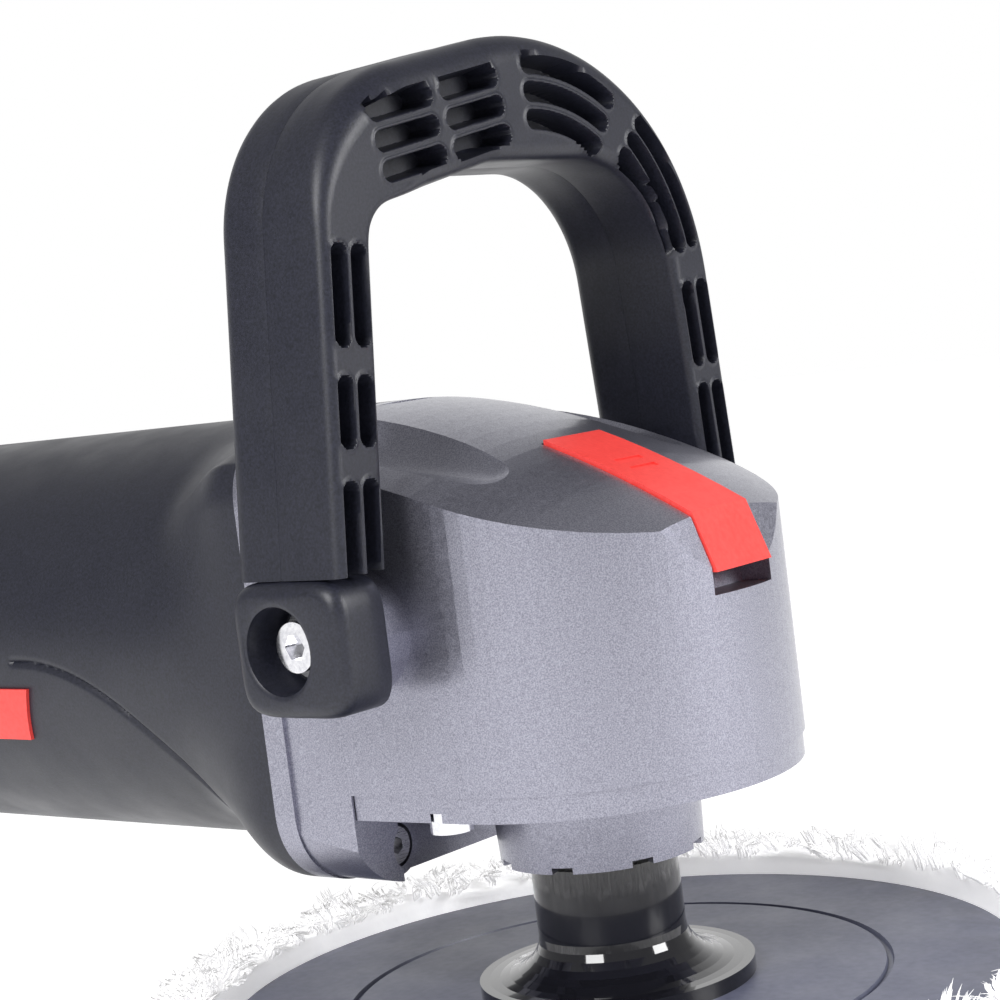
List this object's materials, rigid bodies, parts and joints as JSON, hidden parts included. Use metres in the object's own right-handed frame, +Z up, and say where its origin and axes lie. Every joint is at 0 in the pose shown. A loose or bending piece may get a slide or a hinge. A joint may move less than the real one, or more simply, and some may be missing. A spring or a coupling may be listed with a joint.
{
  "type": "rotary polisher",
  "caption": "Rotary polisher with a silver gear head, black D-shaped front handle, red spindle lock, long rear grip and a white wool pad on a grey backing disc.",
  "frame": {"origin": "centre of the wool pad's working face, on the spindle axis", "axes": "+X forward to the round nose of the gear head, -X back to the rear grip; +Y to the far foot of the D-handle; +Z up the spindle axis"},
  "size_m": [0.4601, 0.213, 0.231],
  "materials": {
    "cast_metal": "fine silver metallic paint on cast metal",
    "black_plastic": "fine grain",
    "red_plastic": "satin red",
    "steel": "turned steel",
    "chrome": "bright plated",
    "gear_steel": "ground and hardened steel",
    "bronze": "sintered bronze",
    "copper": "enamelled copper wire",
    "laminations": "varnished steel laminations",
    "rubber_black": "moulded rubber",
    "carbon": "sintered carbon",
    "board": "circuit board",
    "hub_gloss": "polished black",
    "disc_grey": "satin slate grey moulding",
    "hook": "hook tape",
    "hide": "sheepskin hide",
    "wool": "wool pile"
  },
  "bodies": {
    "machine": {"gear_head": "cast_metal", "head_plate": "cast_metal", "flange_plate": "cast_metal", "motor_housing": "black_plastic", "grip_left": "black_plastic", "grip_right": "black_plastic", "handle_bolts": "chrome", "handle_washers": "steel", "lock_spring": "steel", "lower_bearing_outer": "steel", "lower_bearing_balls": "chrome", "upper_bush": "bronze", "dust_seal": "rubber_black", "front_bearing_outer": "steel", "front_bearing_balls": "chrome", "rear_bearing_outer": "steel", "rear_bearing_balls": "chrome", "rear_bearing_sleeve": "rubber_black", "air_baffle": "black_plastic", "stator_core": "laminations", "field_coils": "copper", "brush_holders": "bronze", "carbon_brushes": "carbon", "brush_caps": "black_plastic", "plate_screws": "chrome", "flush_screws": "steel", "head_screws": "steel", "grip_screws": "steel", "side_badges": "red_plastic", "trigger_switch": "black_plastic", "speed_board": "board", "cord_gland": "rubber_black"},
    "spindle_group": {"spindle": "steel", "crown_gear": "gear_steel", "gear_key": "gear_steel", "retaining_ring": "gear_steel", "lower_bearing_inner": "steel", "pad_hub": "hub_gloss", "backing_disc": "disc_grey", "hook_layer": "hook", "hide_backing": "hide", "wool_pad": "wool"},
    "rotor_group": {"pinion": "gear_steel", "pinion_nut": "steel", "armature_shaft": "steel", "armature_core": "laminations", "armature_windings": "copper", "commutator": "copper", "fan": "black_plastic", "front_bearing_inner": "steel", "rear_bearing_inner": "steel"},
    "handle_group": {"handle_front_shell": "black_plastic", "handle_rear_shell": "black_plastic", "handle_shell_screws": "steel"},
    "lock_group": {"lock_button": "red_plastic", "lock_pin": "steel"},
    "trigger_group": {"trigger": "black_plastic"},
    "lock_on_group": {"lock_on_button": "black_plastic"},
    "dial_group": {"speed_dial": "black_plastic"}
  },
  "joints": [
    {"name": "spindle_spin", "type": "hinge", "parent": "machine", "child": "spindle_group", "pos_m": [0, 0, 0.05], "axis": [0, 0, 1], "continuous": true},
    {"name": "rotor_spin", "type": "hinge", "parent": "machine", "child": "rotor_group", "pos_m": [-0.06, 0, 0.114], "axis": [1, 0, 0], "continuous": true},
    {"name": "handle_tilt", "type": "hinge", "parent": "machine", "child": "handle_group", "pos_m": [-0.016, 0, 0.1196], "axis": [0, 1, 0], "range_deg": [-15, 35]},
    {"name": "lock_press", "type": "slide", "parent": "machine", "child": "lock_group", "axis": [0, 0, -1], "range_m": [0, 0.0032], "stiffness_N_per_m": 1500, "springref_m": -0.001, "deforming": ["lock_spring"]},
    {"name": "trigger_pull", "type": "hinge", "parent": "machine", "child": "trigger_group", "pos_m": [-0.2256, 0, 0.098], "axis": [0, 1, 0], "range_deg": [0, 7], "stiffness_Nm_per_rad": 0.8, "springref_deg": -2.86},
    {"name": "lock_on_press", "type": "slide", "parent": "machine", "child": "lock_on_group", "axis": [0, 1, 0], "range_m": [0, 0.0025], "stiffness_N_per_m": 800, "springref_m": -0.0008},
    {"name": "dial_turn", "type": "hinge", "parent": "machine", "child": "dial_group", "pos_m": [-0.2056, 0, 0.136], "axis": [0, 1, 0], "range_deg": [0, 300]}
  ],
  "couplings": [
    {"joint": "rotor_spin", "follows": "spindle_spin", "ratio": -4}
  ]
}
